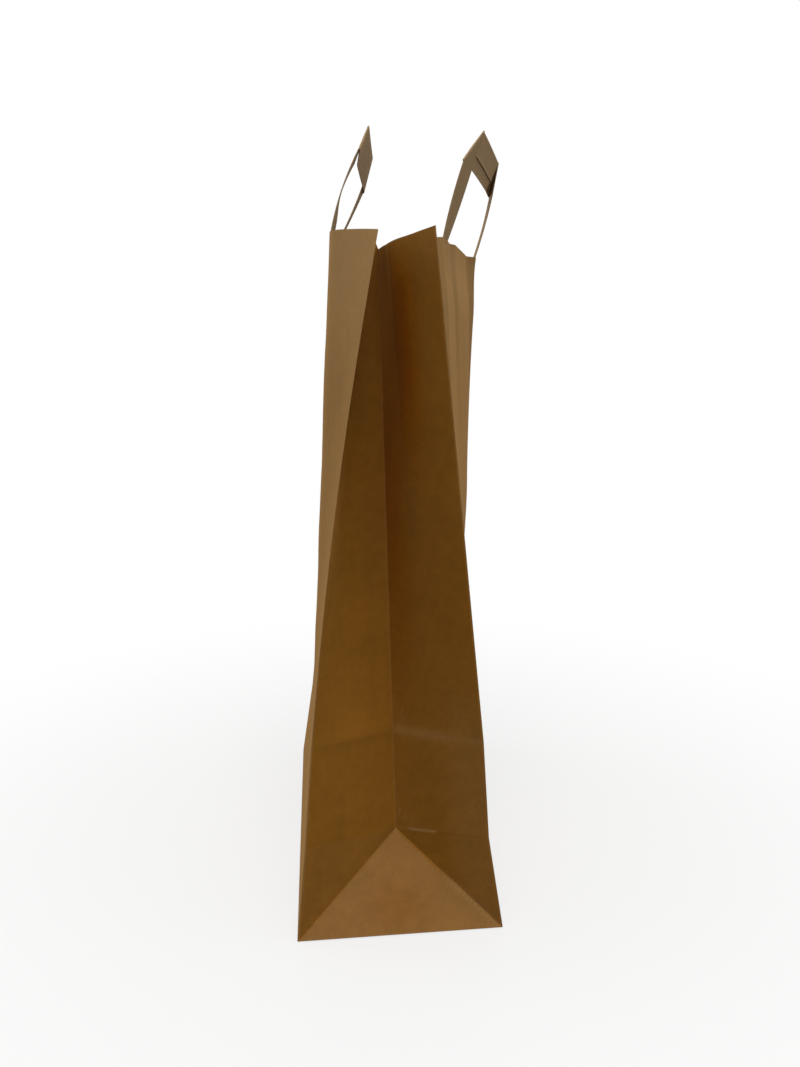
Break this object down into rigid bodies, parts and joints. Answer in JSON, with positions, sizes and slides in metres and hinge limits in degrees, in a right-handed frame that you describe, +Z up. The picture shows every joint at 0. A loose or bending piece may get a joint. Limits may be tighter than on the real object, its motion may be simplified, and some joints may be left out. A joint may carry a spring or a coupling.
{
  "type": "paper carrier bag",
  "caption": "Tall block-bottom carrier bag of brown paper, standing open with tucked side gussets, with flat folded-tape handles glued inside the rim under reinforcing patches.",
  "frame": {"origin": "middle of the flat base, on the surface the bag stands on", "axes": "+Z up out of the mouth, +X towards the pinched gusset end, +Y towards the back face that bellies out"},
  "size_m": [0.252, 0.1472, 0.4632],
  "materials": {
    "kraft_paper": "uncoated brown kraft paper, matt, with fine fibres",
    "handle_tape": "folded kraft paper tape, matt, a little greyer than the bag",
    "patch_paper": "uncoated brown kraft paper, matt"
  },
  "bodies": {
    "root": {"bag_body": "kraft_paper", "front_handle": "handle_tape", "back_handle": "handle_tape", "front_handle_patch": "patch_paper", "back_handle_patch": "patch_paper"}
  },
  "joints": []
}
